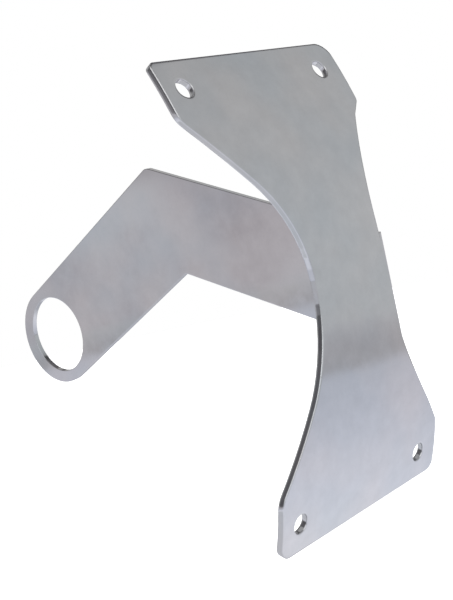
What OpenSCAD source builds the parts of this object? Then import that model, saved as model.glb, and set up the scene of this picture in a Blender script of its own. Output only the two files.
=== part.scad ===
// Side-mount license plate bracket, cut from one sheet of steel and folded.
// An hourglass plate faces the rear with a bolt hole in each corner. Its ends
// are bowed back, and its right waist edge is folded back into an elbowed arm
// that ends in a large eye for the axle.
// X runs along the plate's width, Y points away behind the plate, Z is up.
// The origin is the centre of the eye, midway through the sheet.

/* [Sheet] */
// Thickness of the steel sheet
sheet = 2.3; // [1.5:0.1:3]
// Inside radius of the fold between plate and arm
fold_r = 1.2; // [0.8:0.1:2.5]

/* [Plate] */
// Width of the plate across its ears
plate_w = 91; // [86:0.5:110]
// Height of the plate, measured along its face
plate_h = 167.4; // [162:0.2:190]
// Radius of the plate's upper left corner
corner_top_left = 2.2; // [1.5:0.1:8]
// Radius of the plate's upper right corner
corner_top_right = 6.2; // [1.5:0.1:8]
// Radius of the plate's lower left corner
corner_low_left = 5; // [1.5:0.1:8]
// Radius of the plate's lower right corner
corner_low_right = 3.4; // [1.5:0.1:8]
// Height above the plate's middle at which the upper bow starts
bow_from_top = 4; // [2:0.5:12]
// Radius of the upper bow, at the front face
bow_r_top = 170; // [120:1:400]
// Distance below the plate's middle at which the lower bow starts
bow_from_low = 37; // [34:0.5:42]
// Radius of the lower bow, at the front face
bow_r_low = 112; // [90:1:400]

/* [Waist] */
// Depth of the left waist cut, from the plate's side
left_cut = 35.3; // [25:0.1:42]
// Radius of the left waist cut at its deepest part
left_r = 57.5; // [40:0.5:80]
// Length of each ear's left side, down to the waist cut
left_ear = 21.5; // [19:0.1:30]
// Radius that rounds the left points, where the waist cut meets the ears
left_point_r = 8; // [1:0.5:10]
// Depth of the right waist cut, from the plate's side to the fold line
right_cut = 15.4; // [12:0.1:20]
// Half height of the straight middle of the right waist cut
right_flat = 14.5; // [11:0.5:20]
// Radius of the curved ends of the right waist cut
right_r = 78; // [60:1:110]
// Width of the sloping step between the right waist cut and each ear
step_w = 5; // [3:0.1:8]
// Length of the upper ear's right side, down to the step
right_ear_top = 25; // [20:0.1:27]
// Length of the lower ear's right side, up to the step
right_ear_low = 20.4; // [18:0.1:26]
// Radius that rounds the right points, where the steps meet the ears
right_point_r = 2.5; // [1:0.5:4]

/* [Plate holes] */
// Diameter of the license plate holes
hole_d = 7; // [5:0.1:9]
// Distance of the left holes' middle from the plate's left side
hole_from_left = 9.15; // [8:0.05:12]
// Distance of the right holes' middle from the plate's right side
hole_from_right = 11.35; // [8:0.05:13]
// Distance of the holes' middle from the plate's ends, along the face
hole_from_end = 10.7; // [8:0.1:14]

/* [Arm] */
// Length of the fold that joins the arm to the plate
fold_len = 42.4; // [36:0.1:46]
// Distance of the fold's middle below the plate's middle
fold_drop = 10.9; // [8:0.1:13]
// Distance of the eye behind the plate's front face
eye_reach = 195; // [170:1:240]
// Distance of the eye below the plate's middle
eye_drop = 15.3; // [0:0.1:25]
// Rise of the arm's first stretch, in degrees
rise = 21; // [15:0.5:28]
// Fall of the arm's second stretch, in degrees
fall = 26; // [18:0.5:32]
// Width of the arm's second stretch, across the strip
strip_w = 45.8; // [43:0.2:52]
// Radius of the arm's outer elbow
elbow_r = 4.5; // [2:0.5:12]
// Diameter of the eye's hole
eye_d = 36; // [25:0.5:38]
// Distance of the middle of the arm's round end beyond the eye's middle
tip_past = 1.5; // [0:0.1:3]

/* [Hidden] */
$fn = 96;

// Largest turn between neighbouring points of a rounded corner, in degrees
arc_step = 4;

// The plate's sides, half height and how far cuts run past its edges
right_x = plate_w / 2;
left_x = -right_x;
half_h = plate_h / 2;
over = 20;
end_past = 3;
// How far corner cuts stand off the sides, so that they cross and not touch
hair = 0.05;

// Bolt holes: their middles across the plate and up its face
hole_left = left_x + hole_from_left;
hole_right = right_x - hole_from_right;
hole_s = half_h - hole_from_end;

// Fold: outside radius, fold line, ends and the arm's middle plane
fold_out = fold_r + sheet;
fold_x = right_x - right_cut;
arm_x = fold_x + fold_r + sheet / 2;
fold_top = fold_len / 2 - fold_drop;
fold_low = -fold_len / 2 - fold_drop;

// Bow: its turn, height and depth at distance s up the front face
function bow_turn(s) = (s > bow_from_top) ? (s - bow_from_top) / bow_r_top * 180 / PI
    : (s < -bow_from_low) ? (s + bow_from_low) / bow_r_low * 180 / PI
    : 0;
function bow_z(s) = (s > bow_from_top) ? bow_from_top + bow_r_top * sin(bow_turn(s))
    : (s < -bow_from_low) ? -bow_from_low + bow_r_low * sin(bow_turn(s))
    : s;
function bow_y(s) = (s > bow_from_top) ? bow_r_top * (1 - cos(bow_turn(s)))
    : (s < -bow_from_low) ? bow_r_low * (1 - cos(bow_turn(s)))
    : 0;

// Points of an arc of radius r that rounds corner b between a and c
function unit(v) = v / norm(v);
function rounded(a, b, c, r) =
    let (u = unit(a - b), w = unit(c - b))
    let (half = acos(u * w) / 2, mid = b + unit(u + w) * r / sin(half))
    let (p = b + u * r / tan(half) - mid, q = b + w * r / tan(half) - mid)
    let (from = atan2(p.y, p.x), gap = atan2(q.y, q.x) - from)
    let (turn = gap > 180 ? gap - 360 : gap < -180 ? gap + 360 : gap)
    let (n = max(2, ceil(abs(turn) / arc_step)))
    [for (i = [0:n]) mid + r * [cos(from + turn * i / n), sin(from + turn * i / n)]];

// An outline whose corners are [x, y, radius], where a radius of 0 is sharp
function corner(c) = [c.x, c.y];
function outline(cs) = let (n = len(cs)) [
    for (i = [0:n - 1])
        let (a = corner(cs[(i + n - 1) % n]), b = corner(cs[i]), c = corner(cs[(i + 1) % n]))
        each cs[i].z == 0 ? [b] : rounded(a, b, c, cs[i].z)
];

// Left waist: its flanks run from the ears' points and touch the waist circle
left_point = half_h - left_ear;
left_mid = left_x + left_cut - left_r;
left_span = norm([left_x - left_mid, left_point]);
left_apex = left_mid + left_r / cos(atan2(left_point, left_x - left_mid) - acos(left_r / left_span));

// Right waist: an arc on each side of the straight middle, up to the step
right_turn = acos(1 - (right_cut - step_w) / right_r);
right_arc_n = ceil(right_turn / arc_step * 2);
function right_arc(side) = [
    for (i = [0:right_arc_n])
        let (t = right_turn * i / right_arc_n)
        [fold_x + right_r * (1 - cos(t)), side * (right_flat + right_r * sin(t)), 0]
];

// The plate's outline in the flat, before bowing, past its top and bottom ends
plate_outline = outline(concat(
    [
        [left_x, half_h + over, 0],
        [left_x, left_point, left_point_r],
        [left_apex, 0, left_r],
        [left_x, -left_point, left_point_r],
        [left_x, -half_h - over, 0],
        [right_x, -half_h - over, 0],
        [right_x, right_ear_low - half_h, right_point_r]
    ],
    [for (i = [right_arc_n:-1:0]) right_arc(-1)[i]],
    right_arc(1),
    [
        [right_x, half_h - right_ear_top, right_point_r],
        [right_x, half_h + over, 0]
    ]
));

// Arm: middle lines of its two stretches, in depth and height
eye = [eye_reach, -eye_drop];
tip_r = strip_w / 2;
along_rise = [cos(rise), sin(rise)];
along_fall = [cos(fall), -sin(fall)];
function across(v) = [-v.y, v.x];
tip = eye + along_fall * tip_past;
tip_top = tip + across(along_fall) * tip_r;
tip_low = tip - across(along_fall) * tip_r;
root_top = [fold_out, fold_top];
root_low = [fold_out, fold_low];
// Crossing of the line through p along u with the line through q along w
function crossing(p, u, q, w) = p + u * ((q - p) * across(w)) / (u * across(w));
elbow_out = crossing(root_top, along_rise, tip_top, along_fall);
elbow_in = crossing(root_low, along_rise, tip_low, along_fall);

// Turns a drawing in depth and height into a slab that stands in the YZ plane
module upright(width, x = 0) {
    translate([x - width / 2, 0, 0])
        rotate([90, 0, 90])
            linear_extrude(width) children();
}

// Section of one bowed end: a ring sector that turns back from the flat middle
module bow_section(radius, start, turn) {
    far = radius * 1.3;
    intersection() {
        translate([radius, start]) difference() {
            circle(radius, $fn = 360);
            circle(radius - sheet, $fn = 360);
        }
        polygon([
            [radius, start],
            [radius - far, start],
            [radius - far * cos(turn), start + far * sin(turn)]
        ]);
    }
}

// Side view of the plate: a flat middle with both ends bowed back
module plate_section() {
    translate([0, -bow_from_low]) square([sheet, bow_from_low + bow_from_top]);
    bow_section(bow_r_top, bow_from_top, bow_turn(half_h + end_past));
    bow_section(bow_r_low, -bow_from_low, bow_turn(-half_h - end_past));
}

// Puts its children on the front face at distance s up it, square to the face
module on_face(x, s) {
    translate([x, bow_y(s), bow_z(s)])
        rotate([-bow_turn(s), 0, 0]) children();
}

// What is cut away at the plate's upper (1) or lower (-1) end: all that lies
// past the end edge and outside its two rounded corners
module end_cut(side, left_corner, right_corner) {
    edge = right_x + hair;
    past = [right_x + 2, over / 2];
    on_face(0, side * half_h)
        rotate([90, 0, 0])
            translate([0, 0, -2 * sheet]) linear_extrude(3 * sheet) polygon(concat(
                rounded([edge, -side * half_h], [edge, 0], [0, 0], right_corner),
                rounded([0, 0], [-edge, 0], [-edge, -side * half_h], left_corner),
                [
                    [-past.x, -side * left_corner],
                    [-past.x, side * past.y],
                    [past.x, side * past.y],
                    [past.x, -side * right_corner]
                ]
            ));
}

// The hourglass plate with its bolt holes
module plate() {
    depth = bow_y(half_h) + bow_y(-half_h) + over;
    difference() {
        intersection() {
            upright(plate_w + over) plate_section();
            translate([0, depth, 0])
                rotate([90, 0, 0])
                    linear_extrude(depth + over)
                        polygon([for (p = plate_outline) [p.x, bow_z(p.y)]]);
        }
        end_cut(1, corner_top_left, corner_top_right);
        end_cut(-1, corner_low_left, corner_low_right);
        for (side_x = [-1, 1], side_z = [-1, 1])
            on_face(side_x < 0 ? hole_left : hole_right, side_z * hole_s)
                translate([0, -sheet, 0])
                    rotate([-90, 0, 0]) cylinder(h = 3 * sheet, d = hole_d);
    }
}

// The quarter turn of sheet between plate and arm
module fold() {
    translate([fold_x, fold_out, fold_low]) linear_extrude(fold_len) intersection() {
        difference() {
            circle(fold_out);
            circle(fold_r);
        }
        translate([0, -fold_out]) square(fold_out);
    }
}

// The elbowed arm and its eye
module arm() {
    difference() {
        union() {
            upright(sheet, arm_x) polygon(outline([
                [root_top.x, root_top.y, 0],
                [root_low.x, root_low.y, 0],
                [elbow_in.x, elbow_in.y, 0],
                [tip_low.x, tip_low.y, 0],
                [tip_top.x, tip_top.y, 0],
                [elbow_out.x, elbow_out.y, elbow_r]
            ]));
            upright(sheet, arm_x) translate(tip) circle(tip_r);
        }
        translate([arm_x - sheet, eye.x, eye.y])
            rotate([0, 90, 0]) cylinder(h = 2 * sheet, d = eye_d);
    }
}

// The whole folded bracket, moved so that the eye's centre is the origin
module bracket() {
    color("silver") translate([-arm_x, -eye.x, -eye.y]) {
        plate();
        fold();
        arm();
    }
}

bracket();
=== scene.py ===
import bpy
import bmesh
from mathutils import Matrix, Vector


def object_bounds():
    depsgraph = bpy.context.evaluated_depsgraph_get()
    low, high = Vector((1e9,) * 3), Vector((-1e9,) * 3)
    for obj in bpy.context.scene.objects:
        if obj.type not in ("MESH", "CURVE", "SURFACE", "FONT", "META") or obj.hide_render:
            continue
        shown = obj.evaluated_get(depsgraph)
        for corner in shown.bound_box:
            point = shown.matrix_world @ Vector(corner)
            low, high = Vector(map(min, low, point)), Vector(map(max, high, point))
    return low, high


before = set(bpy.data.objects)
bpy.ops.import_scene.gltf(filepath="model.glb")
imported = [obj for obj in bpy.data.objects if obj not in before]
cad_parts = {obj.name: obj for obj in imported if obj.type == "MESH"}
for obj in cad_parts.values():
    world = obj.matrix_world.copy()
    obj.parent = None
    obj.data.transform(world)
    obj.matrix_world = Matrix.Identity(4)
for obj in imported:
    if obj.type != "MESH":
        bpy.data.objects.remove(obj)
cad_box = [list(corner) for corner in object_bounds()]


# The bracket is one blank of mild steel sheet, cut, punched, bowed to a plate
# with four bolt holes and folded at its waist into the arm with the axle eye.
# It is polished and chrome plated all over, which leaves its edges eased.

def linear(hex_colour):
    """An sRGB hex colour as linear values."""
    values = [int(hex_colour[i:i + 2], 16) / 255 for i in (0, 2, 4)]
    return [v / 12.92 if v <= 0.04045 else ((v + 0.055) / 1.055) ** 2.4 for v in values] + [1.0]


def add_node(tree, kind, settings=None, links=None):
    """Adds a node, sets its properties and sockets, and links its inputs."""
    node = tree.nodes.new(kind)
    for name, value in (settings or {}).items():
        if isinstance(name, int) or name in node.inputs:
            node.inputs[name].default_value = value
        else:
            setattr(node, name, value)
    for name, socket in (links or {}).items():
        tree.links.new(socket, node.inputs[name])
    return node


# Bright decorative chrome over nickel on polished steel. It is nearly a mirror,
# slightly blue, with a faint haze and the long soft waves that polishing a
# sheet by hand leaves, which bend the reflections without breaking them.
clouds_per_metre = 24.0  # haze in clouds about 40 mm across
mottle_per_metre = 160.0  # fine mottle about 6 mm across
pits_per_metre = 45.0  # a pit about 1 mm across in every 22 mm or so
waves_per_metre = 28.0  # polishing waves about 36 mm long
wave_height = 0.0006
bluish_chrome = linear("CACDD1")
warmer_chrome = linear("D4D2D3")
plate_easing = 0.0011  # how far the polishing has rounded the plate's edges
arm_easing = 0.0004  # the arm's edges were polished less
plate_ends_at, arm_begins_at = -0.168, -0.160

chrome = bpy.data.materials.new("bright_chrome_plate")
chrome.use_nodes = True
tree = chrome.node_tree
shader = tree.nodes["Principled BSDF"]
shader.inputs["Metallic"].default_value = 1.0
place = add_node(tree, "ShaderNodeTexCoord").outputs["Object"]
haze = add_node(
    tree, "ShaderNodeTexNoise", {"Scale": clouds_per_metre, "Detail": 2.0, "Roughness": 0.5},
    {"Vector": place},
)
patch = add_node(
    tree, "ShaderNodeMapRange", {"From Min": 0.38, "From Max": 0.62},
    {"Value": haze.outputs["Fac"]},
)
tint = add_node(
    tree, "ShaderNodeMix", {"data_type": "RGBA", 6: bluish_chrome, 7: warmer_chrome},
    {0: patch.outputs["Result"]},
)
mottle = add_node(
    tree, "ShaderNodeTexNoise", {"Scale": mottle_per_metre, "Detail": 4.0, "Roughness": 0.6},
    {"Vector": place},
)
cloudy = add_node(
    tree, "ShaderNodeMapRange",
    {"From Min": 0.3, "From Max": 0.7, "To Min": 0.95, "To Max": 1.03},
    {"Value": mottle.outputs["Fac"]},
)
cells = add_node(tree, "ShaderNodeTexVoronoi", {"Scale": pits_per_metre}, {"Vector": place})
pit = add_node(
    tree, "ShaderNodeMapRange",
    {"From Min": 0.012, "From Max": 0.028, "To Min": 0.75, "To Max": 1.0},
    {"Value": cells.outputs["Distance"]},
)
value = add_node(
    tree, "ShaderNodeMath", {"operation": "MULTIPLY"},
    {0: cloudy.outputs["Result"], 1: pit.outputs["Result"]},
)
shade = add_node(
    tree, "ShaderNodeVectorMath", {"operation": "SCALE"},
    {0: tint.outputs[2], "Scale": value.outputs["Value"]},
)
tree.links.new(shade.outputs["Vector"], shader.inputs["Base Color"])
gloss = add_node(
    tree, "ShaderNodeMapRange",
    {"From Min": 0.3, "From Max": 0.7, "To Min": 0.05, "To Max": 0.10},
    {"Value": mottle.outputs["Fac"]},
)
tree.links.new(gloss.outputs["Result"], shader.inputs["Roughness"])
waves = add_node(
    tree, "ShaderNodeTexNoise", {"Scale": waves_per_metre, "Detail": 1.0, "Roughness": 0.4},
    {"Vector": place},
)
along = add_node(tree, "ShaderNodeSeparateXYZ", links={0: place})
eased_by = add_node(
    tree, "ShaderNodeMapRange",
    {
        "From Min": plate_ends_at, "From Max": arm_begins_at,
        "To Min": plate_easing, "To Max": arm_easing,
    },
    {"Value": along.outputs["Y"]},
)
easing = add_node(tree, "ShaderNodeBevel", {"samples": 8}, {"Radius": eased_by.outputs["Result"]})
bump = add_node(
    tree, "ShaderNodeBump", {"Strength": 0.12, "Distance": wave_height},
    {"Height": waves.outputs["Fac"], "Normal": easing.outputs["Normal"]},
)
tree.links.new(bump.outputs["Normal"], shader.inputs["Normal"])

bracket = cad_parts["bracket"]
if not bracket.material_slots:
    bracket.data.materials.append(chrome)
for finish in bracket.material_slots:
    finish.material = chrome


# The floor is a round sheet of white paper under the bracket. To the camera it
# is plain white. To the chrome it shows a painted glow in place of the lit paper:
# painted light that falls off towards its rim, a darker step at the paper's wavy
# edge, and a painted soft shadow behind the arm.
floor_radius = 1.0
floor_middle = (-0.14, -0.01, cad_box[0][2] - 0.06)
# Where the painted shadow lies in the chrome's view of the floor, and how wide and deep it is.
shadow_middle = (0.18, 0.07, cad_box[0][2] - 0.06)
shadow_inner, shadow_outer, shadow_depth = 0.08, 0.13, 0.62
edge_waves_from, edge_waves_to = 0.40, 0.46  # the paper's edge bends between these two, along X
# Painted light on the floor as the chrome sees it, brightest near the middle.
light_on_floor = (  # distance from the floor's middle, and the light there
    (0.24, (0.96, 0.975, 1.04, 1.0)),
    (0.30, (0.91, 0.92, 1.0, 1.0)),
    (0.40, (0.80, 0.81, 0.89, 1.0)),
    (0.52, (0.73, 0.74, 0.815, 1.0)),
    (0.745, (0.685, 0.70, 0.77, 1.0)),
    (0.760, (0.525, 0.52, 0.54, 1.0)),
    (0.84, (0.527, 0.522, 0.543, 1.0)),
)

floor_mesh = bpy.data.meshes.new("floor")
bm = bmesh.new()
bmesh.ops.create_circle(bm, cap_ends=True, segments=96, radius=floor_radius)
bmesh.ops.translate(bm, verts=bm.verts, vec=floor_middle)
bm.to_mesh(floor_mesh)
bm.free()
floor = bpy.data.objects.new("floor", floor_mesh)
bpy.context.scene.collection.objects.link(floor)

# White matt paper. Only its colour shows, because paper hardly shines.
paper = bpy.data.materials.new("white_paper_floor")
paper.use_nodes = True
tree = paper.node_tree
shader = tree.nodes["Principled BSDF"]
shader.inputs["Base Color"].default_value = linear("FAFAFA")
shader.inputs["Roughness"].default_value = 0.9
rays = add_node(tree, "ShaderNodeLightPath")
where = add_node(tree, "ShaderNodeTexCoord").outputs["Object"]
near = add_node(
    tree, "ShaderNodeVectorMath", {"operation": "DISTANCE", 1: floor_middle}, {0: where},
)
across = add_node(tree, "ShaderNodeSeparateXYZ", links={0: where})
wavy = add_node(
    tree, "ShaderNodeMapRange",
    {"From Min": edge_waves_from, "From Max": edge_waves_to, "To Min": -0.007, "To Max": 0.03},
    {"Value": across.outputs["X"]},
)
from_middle = add_node(
    tree, "ShaderNodeMath", {"operation": "SUBTRACT"},
    {0: near.outputs["Value"], 1: wavy.outputs["Result"]},
)
# Painted light: the floor's glow in the chrome, falling off towards the rim.
glow_of_floor = add_node(
    tree, "ShaderNodeValToRGB", links={"Fac": from_middle.outputs["Value"]},
)
stops = glow_of_floor.color_ramp.elements
stops[0].position, stops[0].color = 0.19, (0.70, 0.71, 0.75, 1.0)
stops[1].position, stops[1].color = 1.0, (0.63, 0.64, 0.66, 1.0)
for at, light in light_on_floor:
    stops.new(at).color = light
# Painted shadow: a soft dark patch behind the arm, seen only in the chrome.
beyond = add_node(
    tree, "ShaderNodeVectorMath", {"operation": "DISTANCE", 1: shadow_middle}, {0: where},
)
shadow = add_node(
    tree, "ShaderNodeMapRange",
    {"From Min": shadow_inner, "From Max": shadow_outer, "To Min": shadow_depth, "To Max": 1.0},
    {"Value": beyond.outputs["Value"]},
)
# The floor glows for glossy rays though it is no lamp, which makes its reflection a painted one.
seen_in_metal = add_node(
    tree, "ShaderNodeEmission",
    links={"Color": glow_of_floor.outputs["Color"], "Strength": shadow.outputs["Result"]},
)
white_card = add_node(
    tree, "ShaderNodeEmission", {"Color": linear("FFFFFF"), "Strength": 0.9},
)
lit_paper = add_node(
    tree, "ShaderNodeAddShader",
    links={0: shader.outputs["BSDF"], 1: white_card.outputs["Emission"]},
)
for_metal = add_node(
    tree, "ShaderNodeMixShader",
    links={
        0: rays.outputs["Is Glossy Ray"],
        1: shader.outputs["BSDF"], 2: seen_in_metal.outputs["Emission"],
    },
)
for_camera = add_node(
    tree, "ShaderNodeMixShader",
    links={
        0: rays.outputs["Is Camera Ray"],
        1: for_metal.outputs["Shader"], 2: lit_paper.outputs["Shader"],
    },
)
tree.links.new(for_camera.outputs["Shader"], tree.nodes["Material Output"].inputs["Surface"])
floor_mesh.materials.append(paper)


# The studio is white to the camera. To the chrome it is a grey room: bright
# ahead of the plate, with a pale band of furniture low down at the back, a dim
# ceiling, a doorway, a skylight and a window behind the camera.
window_direction = (-0.60, -0.52, 0.61)
doorway_direction = (0.71, 0.50, 0.50)
window_light, doorway_light, skylight_light = 0.9, 0.5, 0.45
far_wall_light, right_wall_light, front_wall_light = 0.5, 0.5, 0.45
clutter_per_radian = 11.0

room = bpy.data.worlds.new("studio_room")
bpy.context.scene.world = room
room.use_nodes = True
tree = room.node_tree
sky = tree.nodes["Background"]
towards = add_node(tree, "ShaderNodeTexCoord").outputs["Generated"]
axes = add_node(tree, "ShaderNodeSeparateXYZ", links={0: towards})

# Ahead of the plate: pale up to the ceiling, and fading towards the back.
overhead = add_node(tree, "ShaderNodeValToRGB", links={"Fac": axes.outputs["Z"]})
stops = overhead.color_ramp.elements
stops[0].position, stops[0].color = 0.0, (0.63, 0.645, 0.655, 1.0)
stops[1].position, stops[1].color = 0.68, (0.10, 0.10, 0.10, 1.0)
stops.new(0.61).color = (0.53, 0.54, 0.545, 1.0)
ahead = add_node(
    tree, "ShaderNodeMapRange",
    {"From Min": -0.22, "From Max": 0.05, "To Min": 1.0, "To Max": 0.15},
    {"Value": axes.outputs["Y"]},
)
front = add_node(
    tree, "ShaderNodeVectorMath", {"operation": "SCALE"},
    {0: overhead.outputs["Color"], "Scale": ahead.outputs["Result"]},
)

# At the back: things of mixed greys below the horizon, and little above it.
clutter = add_node(
    tree, "ShaderNodeTexNoise",
    {
        "noise_dimensions": "4D", "W": 1.0,
        "Scale": clutter_per_radian, "Detail": 2.0, "Roughness": 0.55,
    },
    {"Vector": towards},
)
things = add_node(tree, "ShaderNodeValToRGB", links={"Fac": clutter.outputs["Fac"]})
stops = things.color_ramp.elements
stops[0].position, stops[0].color = 0.36, (0.53, 0.51, 0.54, 1.0)
stops[1].position, stops[1].color = 0.64, (0.65, 0.67, 0.71, 1.0)
stops.new(0.5).color = (0.62, 0.60, 0.63, 1.0)
low = add_node(tree, "ShaderNodeValToRGB", links={"Fac": axes.outputs["Z"]})
stops = low.color_ramp.elements
stops[0].position, stops[0].color = 0.0, (1.0, 1.0, 1.0, 1.0)
stops[1].position, stops[1].color = 0.5, (0.25, 0.25, 0.25, 1.0)
for height, level in (
    (0.01, 0.88), (0.02, 0.72), (0.04, 0.56), (0.06, 0.46), (0.12, 0.22), (0.25, 0.20),
):
    stops.new(height).color = (level, level, level, 1.0)
behind = add_node(
    tree, "ShaderNodeVectorMath", {"operation": "MULTIPLY"},
    {0: things.outputs["Color"], 1: low.outputs["Color"]},
)
most = add_node(
    tree, "ShaderNodeVectorMath", {"operation": "MAXIMUM"},
    {0: front.outputs["Vector"], 1: behind.outputs["Vector"]},
)

# The lit parts of the back: the doorway, the skylight and two pale walls.
to_doorway = add_node(
    tree, "ShaderNodeVectorMath", {"operation": "DOT_PRODUCT", 1: doorway_direction},
    {0: towards},
)
door = add_node(
    tree, "ShaderNodeMapRange",
    {"From Min": 0.975, "From Max": 0.992, "To Max": doorway_light},
    {"Value": to_doorway.outputs["Value"]},
)
skylight = add_node(
    tree, "ShaderNodeMapRange",
    {"From Min": 0.78, "From Max": 0.88, "To Max": skylight_light},
    {"Value": axes.outputs["Z"]},
)
lights = add_node(
    tree, "ShaderNodeMath", {"operation": "MAXIMUM"},
    {0: door.outputs["Result"], 1: skylight.outputs["Result"]},
)
far_wall = add_node(
    tree, "ShaderNodeMapRange",
    {"From Min": 0.78, "From Max": 0.88, "To Max": far_wall_light},
    {"Value": axes.outputs["Y"]},
)
to_right = add_node(
    tree, "ShaderNodeMapRange",
    {"From Min": 0.2, "From Max": 0.4, "To Max": right_wall_light},
    {"Value": axes.outputs["X"]},
)
below = add_node(
    tree, "ShaderNodeMapRange",
    {"From Min": 0.28, "From Max": 0.36, "To Min": right_wall_light, "To Max": 0.0},
    {"Value": axes.outputs["Z"]},
)
right_wall = add_node(
    tree, "ShaderNodeMath", {"operation": "MINIMUM"},
    {0: to_right.outputs["Result"], 1: below.outputs["Result"]},
)
walls = add_node(
    tree, "ShaderNodeMath", {"operation": "MAXIMUM"},
    {0: far_wall.outputs["Result"], 1: right_wall.outputs["Value"]},
)
openings = add_node(
    tree, "ShaderNodeMath", {"operation": "MAXIMUM"},
    {0: lights.outputs["Value"], 1: walls.outputs["Value"]},
)
back = add_node(
    tree, "ShaderNodeVectorMath", {"operation": "MAXIMUM"},
    {0: most.outputs["Vector"], 1: openings.outputs["Value"]},
)

# The whole room, with its front wall and the window behind the camera.
to_back = add_node(
    tree, "ShaderNodeMapRange", {"From Min": -0.25, "From Max": -0.1},
    {"Value": axes.outputs["Y"]},
)
room_light = add_node(
    tree, "ShaderNodeMix", {"data_type": "RGBA"},
    {0: to_back.outputs["Result"], 6: overhead.outputs["Color"], 7: back.outputs["Vector"]},
)
front_wall = add_node(
    tree, "ShaderNodeMapRange",
    {"From Min": -0.45, "From Max": -0.32, "To Min": front_wall_light, "To Max": 0.0},
    {"Value": axes.outputs["Y"]},
)
all_walls = add_node(
    tree, "ShaderNodeVectorMath", {"operation": "MAXIMUM"},
    {0: room_light.outputs[2], 1: front_wall.outputs["Result"]},
)
to_window = add_node(
    tree, "ShaderNodeVectorMath", {"operation": "DOT_PRODUCT", 1: window_direction},
    {0: towards},
)
pane = add_node(
    tree, "ShaderNodeMapRange",
    {"From Min": 0.82, "From Max": 0.95, "To Min": 0.0, "To Max": window_light},
    {"Value": to_window.outputs["Value"]},
)
lit_room = add_node(
    tree, "ShaderNodeVectorMath", {"operation": "ADD"},
    {0: all_walls.outputs["Vector"], 1: pane.outputs["Result"]},
)
ray = add_node(tree, "ShaderNodeLightPath")
shown = add_node(
    tree, "ShaderNodeMix", {"data_type": "RGBA", 7: linear("FFFFFF")},
    {0: ray.outputs["Is Camera Ray"], 6: lit_room.outputs["Vector"]},
)
tree.links.new(shown.outputs[2], sky.inputs["Color"])


# Two soft boxes light the floor and the haze from both sides. The chrome
# doesn't mirror them, because the room above is already all that it mirrors.
lamp_size = 0.8
lit_point = Vector((-0.03, -0.1, 0.02))
for name, position, watts in (
    ("soft_key", (-0.9, -0.9, 1.1), 9.0),
    ("soft_fill", (0.9, -0.3, 0.9), 5.0),
):
    lamp = bpy.data.lights.new(name, "AREA")
    lamp.shape = "SQUARE"
    lamp.size = lamp_size
    lamp.energy = watts
    lamp_object = bpy.data.objects.new(name, lamp)
    aim = (lit_point - Vector(position)).to_track_quat("-Z", "Y")
    lamp_object.matrix_world = Matrix.Translation(position) @ aim.to_matrix().to_4x4()
    lamp_object.visible_glossy = False
    bpy.context.scene.collection.objects.link(lamp_object)


# The camera stands at the photograph's viewpoint, in front of the plate and to
# its left, with the same roll.
camera_place = (-0.32578, -0.42532, 0.05976)
camera_right = Vector((0.65727, -0.72153, -0.21768))
camera_up = Vector((0.23305, -0.08009, 0.96916))
camera_forward = Vector((0.71672, 0.68773, -0.11551))
camera_data = bpy.data.cameras.new("camera")
camera_data.sensor_fit = "VERTICAL"
camera_data.sensor_height = 24.0
camera_data.lens = 44.69
camera_data.clip_start = 0.01
camera = bpy.data.objects.new("camera", camera_data)
turn = Matrix((camera_right, camera_up, -camera_forward)).transposed().to_4x4()
camera.matrix_world = Matrix.Translation(camera_place) @ turn
bpy.context.scene.collection.objects.link(camera)
bpy.context.scene.camera = camera
bpy.context.scene.view_settings.view_transform = "Standard"
